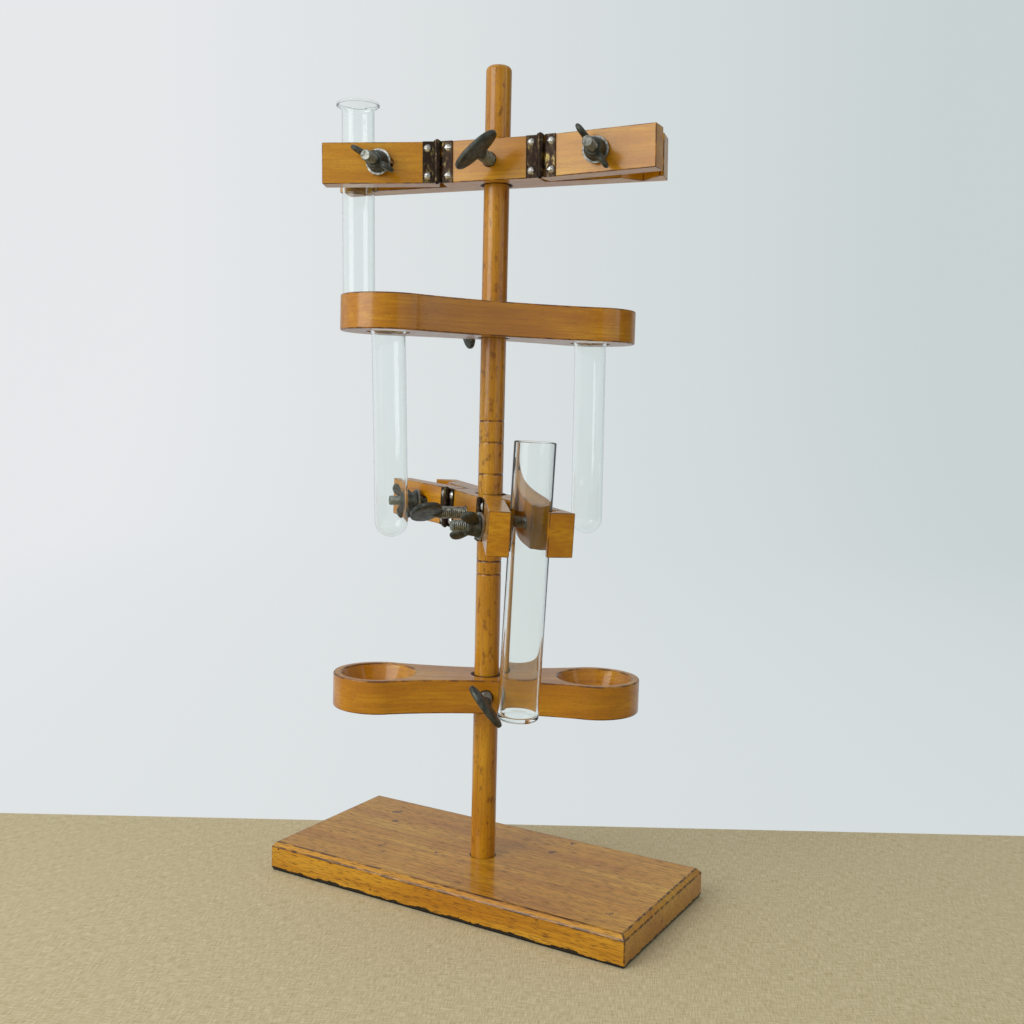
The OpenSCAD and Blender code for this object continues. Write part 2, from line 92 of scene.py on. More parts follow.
# %% [markdown]
# ## From grids to meshes
# A lathe-turned piece is a profile swung round an axis, and a blade is a function of two
# angles. Both give a grid of points. The grid is closed with a pole or a fan at each end,
# so that the mesh has an inside and an outside, as the real piece has.


# %% Grid helpers
def grid_shell(grid, close_ends=True):
    """Points on a grid whose second direction runs right round; each end ring gets a fan."""
    rows, cols = grid.shape[:2]
    index = np.arange(rows * cols).reshape(rows, cols)
    here, across = index[:-1], np.roll(index, -1, axis=1)[:-1]
    up, up_across = index[1:], np.roll(index, -1, axis=1)[1:]
    quads = np.stack([here, across, up_across, up], axis=-1).reshape(-1, 4).tolist()
    verts = grid.reshape(-1, 3)
    if close_ends:
        first, last = len(verts), len(verts) + 1
        verts = np.vstack([verts, grid[0].mean(axis=0), grid[-1].mean(axis=0)])
        ring, top = index[0], index[-1]
        quads += [[first, b, a] for a, b in zip(ring, np.roll(ring, -1))]
        quads += [[last, a, b] for a, b in zip(top, np.roll(top, -1))]
    return verts, quads


def lathe(profile, count=64, loop=False):
    """Each point (r, z) of the profile swings round Z: x = r cos a, y = r sin a."""
    profile = np.asarray(profile, dtype=float)
    if loop:
        profile = np.vstack([profile, profile[:1]])
    angle = np.linspace(0.0, 2.0 * math.pi, count, endpoint=False)
    r, z = profile[:, :1], profile[:, 1:]
    grid = np.stack([r * np.cos(angle), r * np.sin(angle), z + 0.0 * angle], axis=-1)
    return grid_shell(grid, close_ends=not loop)


def make_piece(name, shells, body, finish, sharp=40.0):
    """Joins shells into one mesh in metres, welds its seams and turns its faces outwards."""
    verts, faces, start = [], [], 0
    for points, quads in shells:
        verts.append(points)
        faces += [[start + int(i) for i in quad] for quad in quads]
        start += len(points)
    mesh = bpy.data.meshes.new(name)
    mesh.from_pydata((np.vstack(verts) * MM).tolist(), [], faces)
    work = bmesh.new()
    work.from_mesh(mesh)
    bmesh.ops.remove_doubles(work, verts=work.verts, dist=2e-7)
    bmesh.ops.dissolve_degenerate(work, edges=work.edges, dist=1e-8)
    bmesh.ops.recalc_face_normals(work, faces=work.faces)
    work.to_mesh(mesh)
    work.free()
    mesh.polygons.foreach_set("use_smooth", [True] * len(mesh.polygons))
    mesh.set_sharp_from_angle(angle=math.radians(sharp))
    piece = bpy.data.objects.new(name, mesh)
    scene.collection.objects.link(piece)
    piece.data.materials.append(finish)
    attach(piece, body)
    return piece


drum_points, drum_faces = lathe([(1.0, 0.0), (1.0, 1.0)], 8)
print("a drum of 8 columns:", len(drum_points), "points,", len(drum_faces), "faces")

# %% [markdown]
# ## Nodes for the finishes
# Each finish starts from what the real surface is. Colours are written as sRGB hex values,
# because that is how they are read off a paint card, and turned to linear light here. A
# finish is then built up as a painter does it: grain of a real size, stains laid over the
# bare tone where the grain is strong, and a gloss and a relief that follow it.


# %% Colour and nodes
def paint(code):
    """An sRGB hex value as linear red, green and blue, with an alpha of 1."""
    channels = [int(code[i : i + 2], 16) / 255.0 for i in (1, 3, 5)]
    linear = [c / 12.92 if c <= 0.04045 else ((c + 0.055) / 1.055) ** 2.4 for c in channels]
    return (*linear, 1.0)


def add(tree, kind, settings=None):
    """Adds one node; a socket among its settings is linked, any other value is set."""
    node = tree.nodes.new(kind)
    for key, value in (settings or {}).items():
        if isinstance(value, bpy.types.NodeSocket):
            tree.links.new(value, node.inputs[key])
        elif isinstance(key, int) or key in node.inputs:
            node.inputs[key].default_value = value
        else:
            setattr(node, key, value)
    return node


def between(value, low, high, at_low=0.0, at_high=1.0):
    """Settings that turn low into at_low and high into at_high, and hold still past them."""
    settings = {"Value": value, "From Min": low, "From Max": high}
    return settings | {"To Min": at_low, "To Max": at_high}


def new_finish(name):
    """A material with its output and Principled shader ready."""
    finish = bpy.data.materials.new(name)
    finish.use_nodes = True
    tree = finish.node_tree
    return finish, tree, tree.nodes["Principled BSDF"]


print("half grey in linear light:", round(paint("#808080")[0], 3))


# %% Grain, stain, gloss and relief
def grain(tree, size_mm, turn=0.0, shift=(0.0, 0.0, 0.0), detail=3.0, rough=0.5):
    """Noise in line with a turned piece; object coordinates are divided by a size per axis."""
    coords = add(tree, "ShaderNodeTexCoord").outputs["Object"]
    settings = {"Vector": coords, "Rotation": (0.0, 0.0, -math.radians(turn))}
    lined_up = add(tree, "ShaderNodeMapping", settings).outputs["Vector"]
    scale = tuple(1.0 / (size * MM) for size in size_mm)
    settings = {"Vector": lined_up, "Scale": scale, "Location": shift}
    sized = add(tree, "ShaderNodeMapping", settings).outputs["Vector"]
    settings = {"Vector": sized, "Scale": 1.0, "Detail": detail, "Roughness": rough}
    return add(tree, "ShaderNodeTexNoise", settings).outputs["Fac"]


def stained(tree, under, code, grain_value, low=0.0, high=1.0, most=1.0, least=0.0, mask=None):
    """Lays a colour over another, from least at low to most at high, times the mask."""
    settings = between(grain_value, low, high, least, most)
    amount = add(tree, "ShaderNodeMapRange", settings).outputs["Result"]
    if mask is not None:
        settings = {"operation": "MULTIPLY", 0: mask, 1: amount}
        amount = add(tree, "ShaderNodeMath", settings).outputs[0]
    settings = {"data_type": "RGBA", 0: amount, 6: under, 7: paint(code)}
    return add(tree, "ShaderNodeMix", settings).outputs[2]


def toned(tree, grain_value, stops):
    """Each tone gives way to the next as the grain's value rises from stop to stop."""
    tone = paint(stops[0][1])
    for (low, _), (high, code) in zip(stops, stops[1:]):
        tone = stained(tree, tone, code, grain_value, low, high)
    return tone


def glossed(tree, shader, grain_value, low, high, at_low, at_high):
    """The roughness goes from at_low to at_high as the grain's value goes from low to high."""
    settings = between(grain_value, low, high, at_low, at_high)
    rough = add(tree, "ShaderNodeMapRange", settings).outputs["Result"]
    tree.links.new(rough, shader.inputs["Roughness"])


def raised(tree, shader, grain_value, height_mm, strength):
    """Relief: the shading follows the grain as if it stood height_mm high."""
    settings = {"Height": grain_value, "Distance": height_mm * MM, "Strength": strength}
    bump = add(tree, "ShaderNodeBump", settings)
    tree.links.new(bump.outputs["Normal"], shader.inputs["Normal"])


print("finishing steps: grain, stained, toned, glossed, raised")

# %% [markdown]
# ## Varnished beech
# The clamps, arms and rod are beech under an amber spirit varnish. Beech has faint straight
# bands a millimetre or two apart and short darker flecks. The varnish is a clear coat, so
# it goes on the coat sockets. The handled edges have darkened: an attribute named worn is 1
# on them. Each piece has its own grain, turned to the way its timber lies.


# %% Varnished beech
def varnished_beech(name, turn, tones, shift, flecks=0.45, upright=False):
    """Bands run along local X, or along Z on the upright rod; flecks are 4 mm by 0.4 mm."""
    finish, tree, shader = new_finish(name)

    def along(length, width, height):
        return (width, height, length) if upright else (length, width, height)

    bands = grain(tree, along(110, 7, 1.7), turn, shift, 2.0)
    broad = grain(tree, along(70, 30, 14), turn, shift, 2.0)
    fine = grain(tree, along(4.2, 0.42, 0.36), turn, shift, 2.0)
    thread = grain(tree, along(26, 0.9, 0.45), turn, shift, 3.0)
    patches = grain(tree, (9, 9, 9), turn, shift, 4.0)
    wood = toned(tree, broad, ((0.3, tones[0]), (0.5, tones[1]), (0.72, tones[2])))
    wood = stained(tree, wood, tones[2], bands, 0.42, 0.62, 0.6)
    wood = stained(tree, wood, tones[3], thread, 0.5, 0.72, 0.3)
    wood = stained(tree, wood, tones[3], fine, 0.62, 0.7, flecks)
    worn = add(tree, "ShaderNodeAttribute", {"attribute_name": "worn"}).outputs["Fac"]
    wood = stained(tree, wood, "#5a3214", patches, 0.4, 0.58, 0.85, 0.15, worn)
    tree.links.new(wood, shader.inputs["Base Color"])
    glossed(tree, shader, patches, 0.3, 0.7, 0.34, 0.5)
    shader.inputs["Specular IOR Level"].default_value = 0.15
    shader.inputs["Coat Weight"].default_value = 0.9
    shader.inputs["Coat Roughness"].default_value = 0.17
    raised(tree, shader, thread, 0.1, 0.3)
    return finish


HONEY = ("#d89a10", "#c98604", "#b37002", "#683808")
# The upper clamp's tones are HONEY made paler: a painted sheen of its varnish, together with some
# paler wear.
SHEEN_LIT_HONEY = ("#e0a828", "#d2930e", "#bd7c06", "#70400a")
ROD_TONES = ("#dda01e", "#cb8c0c", "#b57406", "#5e300a")
TIMBER = {
    # The upper clamp takes the paler tones: painted varnish sheen with some wear.
    "upper_clamp": (0.0, SHEEN_LIT_HONEY, (0, 0, 0)),
    "upper_arm": (180.0, HONEY, (3, 1, 2)),
    "lower_clamp": (0.0, HONEY, (5, 7, 1)),
    "lower_arm": (0.0, HONEY, (8, 2, 6)),
}
beech = {}
for carrier, (back, tones, shift) in TIMBER.items():
    name, turn = "beech " + carrier.replace("_", " "), CARRIERS[carrier][1] - back
    beech[carrier] = varnished_beech(name, turn, tones, shift)
print("beech finishes:", len(beech))

# %% [markdown]
# ## The rod
# The rod is a dowel turned from straight-grained wood, worn where clamps have slid. Dark
# rings were scored by clamps that stood in one place for years. The profile is the rod's
# radius along its height, with a shallow groove at each ring, swung round Z. The topmost
# groove has stayed clean, so it is cut but not darkened.

# %% The rod's profile
ROD_R, TOP_ROUND = 9.5, 4.0
SCORE_DEPTH, SCORE_WIDTH, SCORE_REACH = 0.3, 0.55, 1.4
WORN_RINGS = (567.0, 359.65, 343.7, 319.7, 253.7, 243.7)
rod_low, rod_high = (corner[2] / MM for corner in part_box("rod"))


def rod_radius(z):
    """The rod's radius, less a bell-shaped groove at each scored ring."""
    groove = sum(np.exp(-(((z - ring) / SCORE_WIDTH) ** 2)) for ring in WORN_RINGS)
    return ROD_R - SCORE_DEPTH * np.minimum(groove, 1.0)


rows = np.unique(np.concatenate([
    np.linspace(rod_low, rod_high - TOP_ROUND, 90),
    *[ring + np.linspace(-SCORE_REACH, SCORE_REACH, 9) for ring in WORN_RINGS],
]))
quarter = np.linspace(0.0, math.pi / 2, 9)[1:]
top_r = ROD_R - TOP_ROUND + TOP_ROUND * np.cos(quarter)
top_z = rod_high - TOP_ROUND + TOP_ROUND * np.sin(quarter)
rod_profile = np.vstack([
    np.stack([rod_radius(rows), rows], axis=1),
    np.stack([top_r, top_z], axis=1),
])
print("rod rows:", len(rod_profile))

# %% The rod's finish
LINE_HALF = 0.8


def rod_finish():
    """The beech of the rod, with broken dark lines in the scored rings, and darker blots."""
    finish = varnished_beech("beech rod", 0.0, ROD_TONES, (2, 4, 1), flecks=0.75, upright=True)
    tree = finish.node_tree
    shader = tree.nodes["Principled BSDF"]
    wood = shader.inputs["Base Color"].links[0].from_socket
    coords = add(tree, "ShaderNodeTexCoord").outputs["Object"]
    height = add(tree, "ShaderNodeSeparateXYZ", {0: coords}).outputs["Z"]
    broken = grain(tree, (7, 7, 3), detail=4.0)
    for ring in WORN_RINGS[1:]:
        settings = {"operation": "COMPARE", 0: height, 1: ring * MM, 2: LINE_HALF * MM}
        line = add(tree, "ShaderNodeMath", settings).outputs[0]
        wood = stained(tree, wood, "#4c230a", broken, 0.4, 0.55, 0.9, 0.25, line)
    blots = grain(tree, (5, 5, 9), shift=(1, 1, 1), detail=5.0, rough=0.6)
    wood = stained(tree, wood, "#70390c", blots, 0.57, 0.66, 0.6)
    tree.links.new(wood, shader.inputs["Base Color"])
    return finish


rod_piece = make_piece("rod_turned", [lathe(rod_profile, 72)], "stand", rod_finish(), 60)
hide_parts("rod")
print("rod:", len(rod_piece.data.polygons), "faces")

# %% [markdown]
# ## Softened wooden blocks
# A sawn block never has a knife edge: the arris is sanded and then worn. The CAD solid is
# copied, its triangles are joined into whole faces, and a narrow bevel rounds each edge.
# The bevel's own faces carry the value "worn", which the beech finish darkens.


# %% Softened blocks
def softened(node, name, body, finish, width_mm, angle=35.0):
    """A copy of a CAD node with rounded edges; worn is 1 on the new faces."""
    work = bmesh.new()
    work.from_mesh(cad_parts[node].data)
    bmesh.ops.remove_doubles(work, verts=work.verts, dist=1e-6)
    limit = math.radians(0.6)
    bmesh.ops.dissolve_limit(work, angle_limit=limit, verts=work.verts, edges=work.edges)
    sharp = [e for e in work.edges if len(e.link_faces) == 2
             and e.calc_face_angle(0.0) > math.radians(angle)]
    made = bmesh.ops.bevel(work, geom=sharp, offset=width_mm * MM, segments=3, profile=0.5,
                           affect="EDGES", clamp_overlap=False)
    work.faces.index_update()
    rounded = {face.index for face in made["faces"] if face.is_valid}
    mesh = bpy.data.meshes.new(name)
    work.to_mesh(mesh)
    work.free()
    worn = mesh.attributes.new("worn", "FLOAT", "FACE")
    worn.data.foreach_set("value", [float(i in rounded) for i in range(len(mesh.polygons))])
    mesh.polygons.foreach_set("use_smooth", [True] * len(mesh.polygons))
    mesh.set_sharp_from_angle(angle=math.radians(50.0))
    piece = bpy.data.objects.new(name, mesh)
    scene.collection.objects.link(piece)
    piece.data.materials.append(finish)
    piece.modifiers.new("even shading", "WEIGHTED_NORMAL").keep_sharp = True
    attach(piece, body)
    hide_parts(node)
    return piece


CLAMP_EASE, ARM_EASE, BOARD_EASE = 0.7, 1.1, 0.9
for clamp in ("upper_clamp", "lower_clamp"):
    softened(f"{clamp}_bar", f"{clamp}_bar_worn", f"{clamp}_block", beech[clamp],
             CLAMP_EASE)
    for side in ("left", "right"):
        jaw = f"{clamp}_{side}_jaw"
        softened(jaw, f"{jaw}_worn", jaw, beech[clamp], CLAMP_EASE)
for arm in ("upper_arm", "lower_arm"):
    softened(f"{arm}_body", f"{arm}_worn", arm, beech[arm], ARM_EASE)
print("softened blocks: 8")

# %% [markdown]
# ## The oiled oak board
# The board is oak: long open pores run with the grain, and long use has left dark blots
# and blackened edges. Heights and distances are worked out from the object
# coordinates, so the black foot stays on the lower edge and each blot in its place.

# %% The board
BOARD_TOP = 22.7
BLOTS = ((-112, 42, 10), (-122, 55, 9), (-100, 22, 5), (-116, -4, 6), (-76, -28, 9),
         (-70, -36, 6), (44, 34, 6), (56, 32, 6), (132, -48, 12), (-32, -18, 4))


def oak_board():
    """Pores 9 mm by 0.6 mm along X, blots at (x, y) of radius r mm, and a black foot."""
    finish, tree, shader = new_finish("oiled oak")
    broad = grain(tree, (120, 22, 22))
    bands = grain(tree, (150, 2.6, 3.4), shift=(2, 1, 0))
    pores = grain(tree, (9.0, 0.6, 0.6), shift=(1, 5, 2), detail=2.0)
    torn = grain(tree, (13, 13, 13), shift=(4.3, 2.1, 0), detail=6.0, rough=0.62)
    ragged = grain(tree, (14, 5, 4), detail=5.0, rough=0.6)
    wood = toned(tree, broad, ((0.3, "#e0a832"), (0.5, "#d3951e"), (0.7, "#c27f10")))
    wood = stained(tree, wood, "#a3660c", bands, 0.45, 0.65, 0.55)
    wood = stained(tree, wood, "#5e3410", pores, 0.54, 0.64, 0.75)
    coords = add(tree, "ShaderNodeTexCoord").outputs["Object"]
    for x, y, r in BLOTS:
        middle = (x * MM, y * MM, BOARD_TOP * MM)
        settings = {"operation": "DISTANCE", 0: coords, 1: middle}
        off = add(tree, "ShaderNodeVectorMath", settings).outputs["Value"]
        settings = between(off, 0.35 * r * MM, 1.2 * r * MM, 0.2, 0.0)
        near = add(tree, "ShaderNodeMapRange", settings).outputs["Result"]
        blot = add(tree, "ShaderNodeMath", {"operation": "ADD", 0: near, 1: torn}).outputs[0]
        wood = stained(tree, wood, "#54240f", blot, 0.7, 0.735, 0.85)
    worn = add(tree, "ShaderNodeAttribute", {"attribute_name": "worn"}).outputs["Fac"]
    wood = stained(tree, wood, "#3f210d", ragged, 0.4, 0.55, 0.9, 0.1, worn)
    height = add(tree, "ShaderNodeSeparateXYZ", {0: coords}).outputs["Z"]
    settings = between(ragged, 0.3, 0.7, 1.4 * MM, 4.4 * MM)
    foot_top = add(tree, "ShaderNodeMapRange", settings).outputs["Result"]
    settings = {"operation": "LESS_THAN", 0: height, 1: foot_top}
    foot = add(tree, "ShaderNodeMath", settings).outputs[0]
    wood = stained(tree, wood, "#17110c", foot)
    tree.links.new(wood, shader.inputs["Base Color"])
    glossed(tree, shader, pores, 0.54, 0.64, 0.3, 0.6)
    shader.inputs["Specular IOR Level"].default_value = 0.2
    shader.inputs["Coat Weight"].default_value = 0.8
    shader.inputs["Coat Roughness"].default_value = 0.12
    raised(tree, shader, pores, 0.25, 0.4)
    return finish


board_piece = softened("board", "board_worn", "stand", oak_board(), BOARD_EASE, 25.0)
print("board:", len(board_piece.data.polygons), "faces")

# %% [markdown]
# ## Cast thumb screws
# A thumb screw is cast in one piece: a flat oval head, a neck that spreads into it, and a
# threaded shank. The head is a superellipsoid, a ball whose sines and cosines are raised
# to a power, which flattens its sides. The thread is a real helix: the radius rises and
# falls once for each pitch and shifts by one pitch for each turn round the screw.


# %% Thread and head shapes
def helix_thread(r, depth, pitch, length, count=40, per_turn=8):
    """Radius = r minus depth times a wave of (height over pitch minus angle over a turn)."""
    angle = np.linspace(0.0, 2.0 * math.pi, count, endpoint=False)
    z = np.linspace(0.0, length, int(length / pitch * per_turn) + 1)[:, None]
    phase = np.abs(((z / pitch - angle / (2.0 * math.pi)) % 1.0) * 2.0 - 1.0)
    taper = np.clip(np.minimum(z, length - z) / (0.8 * pitch), 0.0, 1.0)
    radius = r - depth * (1.0 - np.clip(phase * 1.5 - 0.15, 0.0, 1.0) * taper)
    grid = np.stack([radius * np.cos(angle), radius * np.sin(angle), z + 0.0 * angle], axis=-1)
    return grid_shell(grid)


def power(value, exponent):
    """A sine or cosine raised to a power with its sign kept."""
    return np.sign(value) * np.abs(value) ** exponent


def oval_blade(half_w, half_l, half_t, edge=0.55, round_=0.95, rows=26, count=56):
    """x and z follow the outline angle, y the thickness angle, each raised to its power."""
    v = np.linspace(-math.pi / 2, math.pi / 2, rows)[:, None]
    u = np.linspace(0.0, 2.0 * math.pi, count, endpoint=False)
    x = half_w * power(np.cos(v), edge) * power(np.cos(u), round_)
    z = half_l * power(np.cos(v), edge) * power(np.sin(u), round_)
    y = half_t * power(np.sin(v), edge) + 0.0 * u
    return grid_shell(np.stack([x, y, z], axis=-1)[1:-1])


def spreading_neck(r, wide, thin, length, rows=14, count=40):
    """A round section that spreads along the blade and thins across it, on a smooth step."""
    s = np.linspace(0.0, 1.0, rows)[:, None]
    smooth = s * s * (3.0 - 2.0 * s)
    angle = np.linspace(0.0, 2.0 * math.pi, count, endpoint=False)
    x = (r + (wide - r) * smooth ** 1.4) * np.cos(angle)
    y = (r + (thin - r) * smooth) * np.sin(angle)
    return grid_shell(np.stack([x, y, s * length + 0.0 * angle], axis=-1))


INCH = 25.4
SHANK_R, SHANK_DEPTH, SHANK_PITCH = 4.75, 0.55, 1.59
print("threads in an inch of the shank:", round(INCH / SHANK_PITCH))

# %% [markdown]
# ## Metal finishes
# The heads and wing nuts are dull grey castings, a little green with age and rubbed lighter
# on their high spots. The threads are zinc-plated steel gone dull. The hinges are brass that
# has turned nearly black, with the yellow showing through where the knuckles rub.


# %% Metal finishes
def cast_metal():
    """Grey cast metal: mottles 4 mm wide, a sand-cast skin of 0.5 mm grain."""
    finish, tree, shader = new_finish("dull cast metal")
    mottle = grain(tree, (4, 4, 4), detail=4.0, rough=0.6)
    grit = grain(tree, (0.5, 0.5, 0.5), detail=2.0)
    tone = toned(tree, mottle, ((0.35, "#3a3d38"), (0.5, "#4a4d47"), (0.7, "#63675f")))
    tree.links.new(tone, shader.inputs["Base Color"])
    shader.inputs["Metallic"].default_value = 0.65
    glossed(tree, shader, mottle, 0.3, 0.7, 0.55, 0.4)
    raised(tree, shader, grit, 0.15, 0.35)
    return finish


def plated_steel(name, code, dull, rough):
    """Plated steel: a bare tone with a duller bloom in patches 2 mm wide."""
    finish, tree, shader = new_finish(name)
    bloom = grain(tree, (2, 2, 2), detail=4.0)
    tone = stained(tree, paint(code), dull, bloom, 0.42, 0.66)
    tree.links.new(tone, shader.inputs["Base Color"])
    shader.inputs["Metallic"].default_value = 1.0
    glossed(tree, shader, bloom, 0.3, 0.7, rough, rough + 0.2)
    return finish


def dark_brass():
    """Brass gone brown-black, with olive-gold showing in rubbed patches."""
    finish, tree, shader = new_finish("patinated brass")
    rubbed = grain(tree, (3.2, 3.2, 6.0), detail=5.0, rough=0.65)
    fine = grain(tree, (0.6, 0.6, 0.6))
    tone = toned(tree, rubbed, ((0.47, "#33271f"), (0.56, "#4b3b2b"), (0.66, "#8d7d48")))
    tone = stained(tree, tone, "#221a17", fine, 0.5, 0.7, 0.4)
    tree.links.new(tone, shader.inputs["Base Color"])
    shader.inputs["Metallic"].default_value = 0.85
    glossed(tree, shader, rubbed, 0.4, 0.65, 0.5, 0.3)
    raised(tree, shader, fine, 0.08, 0.4)
    return finish


def plain_fibre(name, code, second, rough):
    """Felt or leather: two close tones in a nap of 0.8 mm, with no gloss."""
    finish, tree, shader = new_finish(name)
    nap = grain(tree, (0.8, 0.8, 0.8), detail=4.0)
    tone = stained(tree, paint(code), second, nap)
    tree.links.new(tone, shader.inputs["Base Color"])
    shader.inputs["Roughness"].default_value = rough
    raised(tree, shader, nap, 0.2, 0.5)
    return finish


casting = cast_metal()
zinc = plated_steel("dulled zinc plate", "#96988f", "#64665f", 0.36)
plate = plated_steel("washer plate", "#a9aba6", "#7f817c", 0.4)
nickel = plated_steel("bright screw steel", "#d6d4cf", "#a5a19a", 0.22)
brass = dark_brass()
felt = plain_fibre("black felt", "#15120f", "#241d18", 0.95)
# This near-black brown on the bore linings is partly painted shade: it stands for the shaded gap
# round the rod in a loose bore.
leather = plain_fibre("lining leather", "#2c1a0e", "#41260f", 0.8)
print("metal and fibre finishes:", len((casting, zinc, plate, nickel, brass, felt, leather)))

# %% [markdown]
# ## Thumb screws in place
# The tip of each screw stands just off the lining of its carrier. The head is turned to
# the angle at which it was left, which differs from screw to screw.

# %% Thumb screws in place
BLADE_TURN = {"upper_clamp": 40.0, "upper_arm": 80.0, "lower_clamp": 25.0, "lower_arm": -52.0}
TIP, THREAD_L, SPADE_L = 12.0, 28.0, 22.0
NECK_R, NECK_WIDE, NECK_THIN, NECK_L, NECK_SUNK = 4.4, 7.5, 2.4, 10.0, 0.5
HEAD_HALF_W, HEAD_HALF_T = 18.5, 2.8
for carrier, blade_turn in BLADE_TURN.items():
    shank, shank_faces = helix_thread(SHANK_R, SHANK_DEPTH, SHANK_PITCH, THREAD_L)
    neck, neck_faces = spreading_neck(NECK_R, NECK_WIDE, NECK_THIN, NECK_L)
    blade, blade_faces = oval_blade(HEAD_HALF_W, SPADE_L / 2, HEAD_HALF_T)
    spin = turn_matrix("Z", blade_turn)
    neck = (neck + [0.0, 0.0, THREAD_L - NECK_SUNK]) @ spin.T
    blade = (blade + [0.0, 0.0, THREAD_L + SPADE_L / 2]) @ spin.T
    for part, faces, kind, finish in (
        ("thread", [(shank, shank_faces)], "steel", zinc),
        ("head", [(neck, neck_faces), (blade, blade_faces)], "cast", casting),
    ):
        shells = [(put_on_rod(face_front(p, 0.0, TIP), carrier), f) for p, f in faces]
        name, body = f"{carrier}_thumb_{part}", f"{carrier}_thumb_screw"
        piece = make_piece(name, shells, body, finish)
        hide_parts(f"{carrier}_thumb_screw")
print("thumb screws:", len(BLADE_TURN))

# %% [markdown]
# ## Where the wing nuts stand
# Each jaw is drawn in by a carriage bolt and a wing nut. A jaw that grips a tube stands open
# by the angle at which its inner face touches the glass in the notch. An empty jaw stands at
# a chosen angle. The washer then lies against the highest edge of the jaw, and the nut on it.

# %% Seats of the washers
BOLT_X, BAR_FRONT, BAR_BACK, REACH = 81.0, 4.4, 14.1, 57.5
HINGE_X, HINGE_Y, BLOCK_FRONT, JAW_T = 39.0, 22.7, 20.0, 15.0
NOTCH_X, NOTCH_DEPTH, WASHER_R, NUT_LIFT = 108.0, 14.0, 9.5, 1.52
REST, SLACK = 0.3, 0.8
TUBE_R, JAR_R = 12.2, 14.2
UPPER_OPEN, LOWER_OPEN = 9.7, 14.0


def notch_seat(r):
    """How far in front of the rod a tube's axis lies when it rests in the V-notch."""
    return (r + REST) * math.sqrt(2.0) - (NOTCH_DEPTH - BAR_FRONT)


def grip_angle(r):
    """Degrees by which a jaw stands open when its inner face touches a tube in the notch."""
    run, lift = NOTCH_X - HINGE_X, HINGE_Y - notch_seat(r)
    need = JAW_T + HINGE_Y - BLOCK_FRONT + r + REST
    return math.degrees(math.asin(need / math.hypot(run, lift)) - math.atan(lift / run))


def washer_seat(degrees, gap):
    """Distance from the rod at which a washer meets the highest edge of an open jaw."""
    a = math.radians(degrees)
    rise = (BOLT_X + WASHER_R - HINGE_X) * math.tan(a)
    return HINGE_Y - (HINGE_Y - BLOCK_FRONT) / math.cos(a) + rise + gap


SEAT = {
    "upper_clamp_left": washer_seat(grip_angle(TUBE_R), REST),
    "upper_clamp_right": washer_seat(UPPER_OPEN, SLACK),
    "lower_clamp_left": washer_seat(LOWER_OPEN, SLACK),
    "lower_clamp_right": washer_seat(grip_angle(JAR_R), REST),
}
print("washers stand off the rod by", {name: round(seat, 1) for name, seat in SEAT.items()})

# %% [markdown]
# ## Wing nuts and bolts
# The nut's hub is a lathe profile with its hole. A wing is an oval section carried along a
# curve that leaves the hub low and sweeps outwards and forwards, growing broader to a
# rounded end. The bolt has a domed head behind the bar, a plain shank and a cut thread.

# %% Wing and hub shapes
WING_OUT, WING_UP, WING_BEND = 13.2, 10.6, 1.3
WING_ROOT_X, WING_ROOT_Z = 4.0, 4.2


def wing(sign, rows=22, count=28):
    """The line x = 4 + 13.2 s, z = 4.2 + 10.6 s to the 1.3, half-width 3.3 to 5.6 mm."""
    s = np.linspace(0.0, 1.0, rows)[:, None]
    x0, z0 = WING_ROOT_X + WING_OUT * s, WING_ROOT_Z + WING_UP * s ** WING_BEND
    along = np.stack([np.full_like(s, WING_OUT), 13.8 * s ** 0.3 + 0.2], axis=-1)
    along = along / np.linalg.norm(along, axis=-1, keepdims=True)
    tip = np.sqrt(np.clip(1.0 - np.clip((s - 0.72) / 0.28, 0.0, 1.0) ** 2, 0.0, 1.0))
    broad = (3.3 + 2.3 * np.clip(s * 1.5, 0.0, 1.0)) * tip + 0.02
    thick = (2.6 - 0.5 * s) * tip ** 0.8 + 0.02
    a = np.linspace(0.0, 2.0 * math.pi, count, endpoint=False)
    wide, flat = power(np.cos(a), 0.85) * broad, power(np.sin(a), 0.85) * thick
    x = x0 - along[..., 1] * wide
    z = z0 + along[..., 0] * wide
    return grid_shell(np.stack([sign * x, flat, z], axis=-1))


def hub():
    """A flared foot, a cone and a rounded top round a plain hole, as one closed profile."""
    return lathe([(4.05, 0.0), (7.6, 0.0), (8.0, 0.5), (7.9, 1.6), (7.2, 2.6), (6.7, 6.0),
                  (6.4, 8.6), (5.8, 9.6), (5.0, 10.0), (4.4, 9.9), (4.05, 9.4)], 48, loop=True)


print("a wing has", len(wing(1.0)[1]), "faces, a hub", len(hub()[1]))

